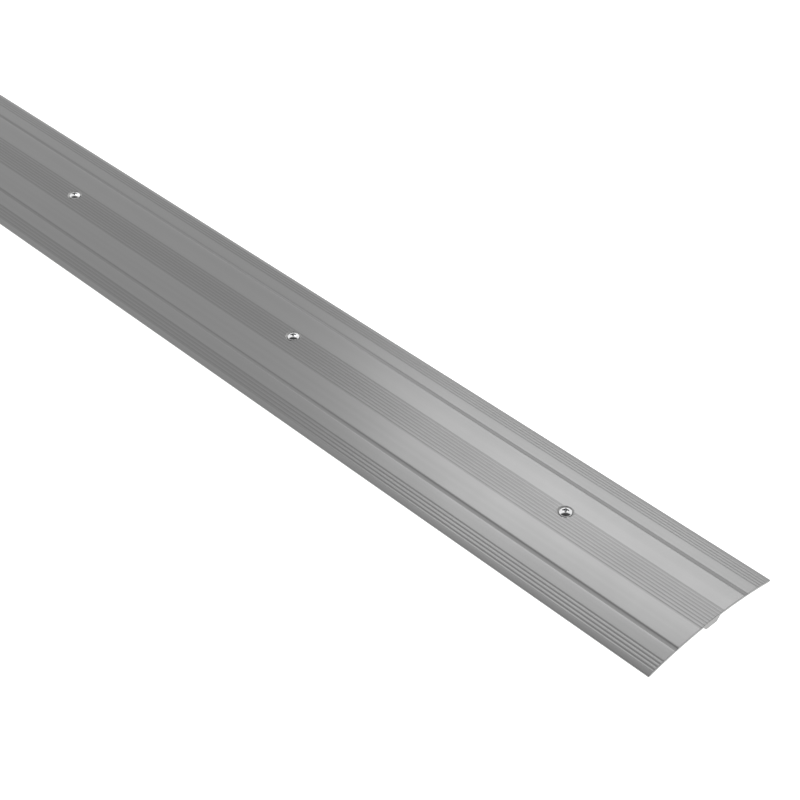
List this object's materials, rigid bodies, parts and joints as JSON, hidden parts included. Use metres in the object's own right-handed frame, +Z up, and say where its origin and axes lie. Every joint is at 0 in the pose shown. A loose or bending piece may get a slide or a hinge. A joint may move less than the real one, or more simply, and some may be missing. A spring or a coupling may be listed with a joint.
{
  "type": "threshold strip",
  "caption": "Low crowned aluminium cover strip for a doorway floor joint, with ribbed middle band, fine edge grooves, raised countersunk screws and wall plugs.",
  "frame": {"origin": "middle of the strip on the floor plane that its two long edges rest on", "axes": "+X along the strip, +Y across it, +Z up out of the floor"},
  "size_m": [0.9, 0.08, 0.0311],
  "materials": {
    "satin_aluminium": "silver anodised, satin, with fine lines along the extrusion",
    "bright_zinc": "bright zinc plated",
    "grey_nylon": "moulded nylon, matt"
  },
  "bodies": {
    "strip": {"threshold_strip": "satin_aluminium", "wall_plug_1": "grey_nylon", "wall_plug_2": "grey_nylon", "wall_plug_3": "grey_nylon", "wall_plug_4": "grey_nylon", "wall_plug_5": "grey_nylon"},
    "screw_1": {"screw_1": "bright_zinc"},
    "screw_2": {"screw_2": "bright_zinc"},
    "screw_3": {"screw_3": "bright_zinc"},
    "screw_4": {"screw_4": "bright_zinc"},
    "screw_5": {"screw_5": "bright_zinc"}
  },
  "joints": [
    {"name": "screw_1_draw", "type": "slide", "parent": "strip", "child": "screw_1", "axis": [0, 0, 1], "range_m": [0, 0.03]},
    {"name": "screw_2_draw", "type": "slide", "parent": "strip", "child": "screw_2", "axis": [0, 0, 1], "range_m": [0, 0.03]},
    {"name": "screw_3_draw", "type": "slide", "parent": "strip", "child": "screw_3", "axis": [0, 0, 1], "range_m": [0, 0.03]},
    {"name": "screw_4_draw", "type": "slide", "parent": "strip", "child": "screw_4", "axis": [0, 0, 1], "range_m": [0, 0.03]},
    {"name": "screw_5_draw", "type": "slide", "parent": "strip", "child": "screw_5", "axis": [0, 0, 1], "range_m": [0, 0.03]}
  ]
}
